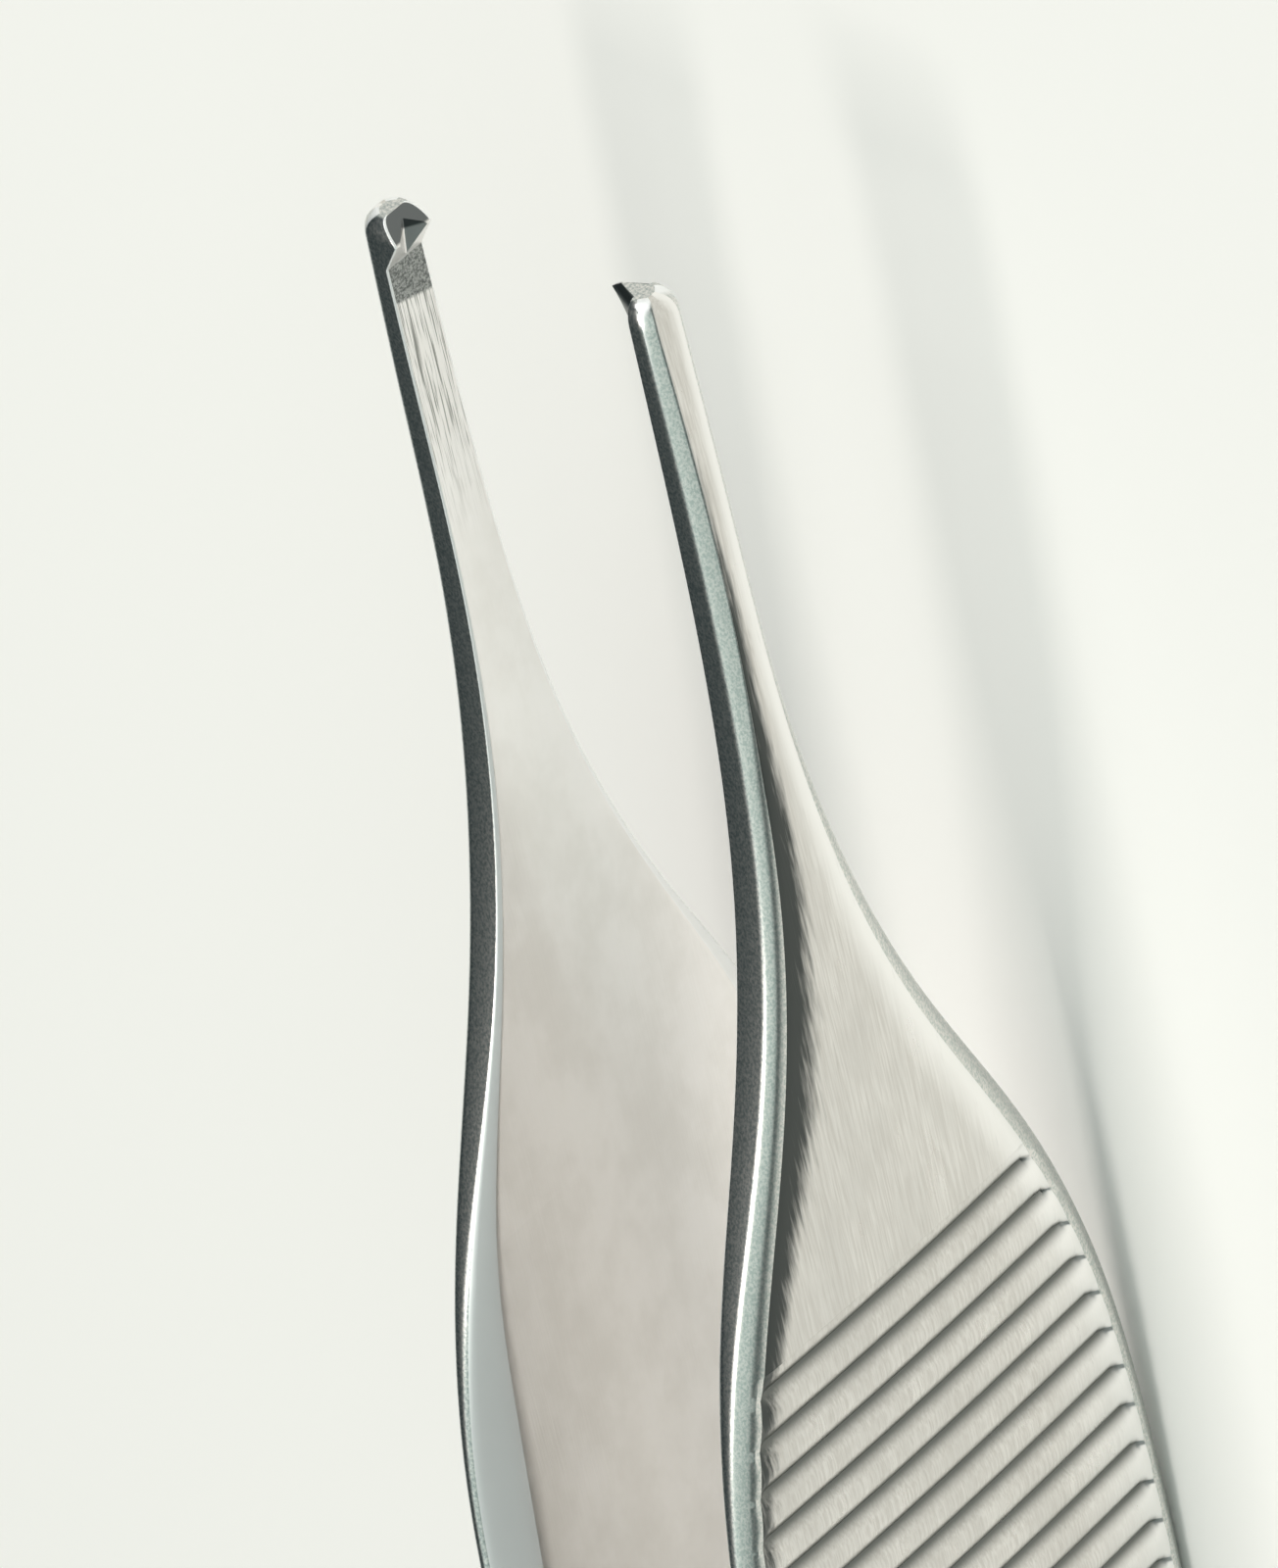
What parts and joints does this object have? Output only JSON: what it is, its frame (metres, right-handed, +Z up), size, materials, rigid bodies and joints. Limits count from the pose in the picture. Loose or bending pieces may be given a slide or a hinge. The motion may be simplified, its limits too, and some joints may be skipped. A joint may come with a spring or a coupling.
{
  "type": "tissue forceps",
  "caption": "Sprung steel tissue forceps lying on its side: broad cross-grooved grips, slender jaws, and toothed tips that close into each other.",
  "frame": {"origin": "under the middle of the length and between the arms, on the surface that the forceps lies on", "axes": "+X towards the tips, the arms lie side by side along Y with the two-toothed arm at +Y, +Z up"},
  "size_m": [0.12, 0.0088, 0.0124],
  "materials": {
    "satin_steel": "satin stainless steel, brushed lengthwise",
    "ground_weld": "weld metal ground flush"
  },
  "bodies": {
    "heel": {"heel_weld": "ground_weld"},
    "two_toothed_arm": {"arm_with_two_teeth": "satin_steel"},
    "one_toothed_arm": {"arm_with_one_tooth": "satin_steel"}
  },
  "joints": [
    {"name": "two_toothed_arm_flex", "type": "hinge", "parent": "heel", "child": "two_toothed_arm", "pos_m": [-0.04898, 0, 0.0043], "axis": [0.0268, 0, -0.9996], "range_deg": [0, 1.58], "stiffness_Nm_per_rad": 6},
    {"name": "one_toothed_arm_flex", "type": "hinge", "parent": "heel", "child": "one_toothed_arm", "pos_m": [-0.04898, 0, 0.0043], "axis": [-0.0268, 0, 0.9996], "range_deg": [0, 1.58], "stiffness_Nm_per_rad": 6}
  ]
}
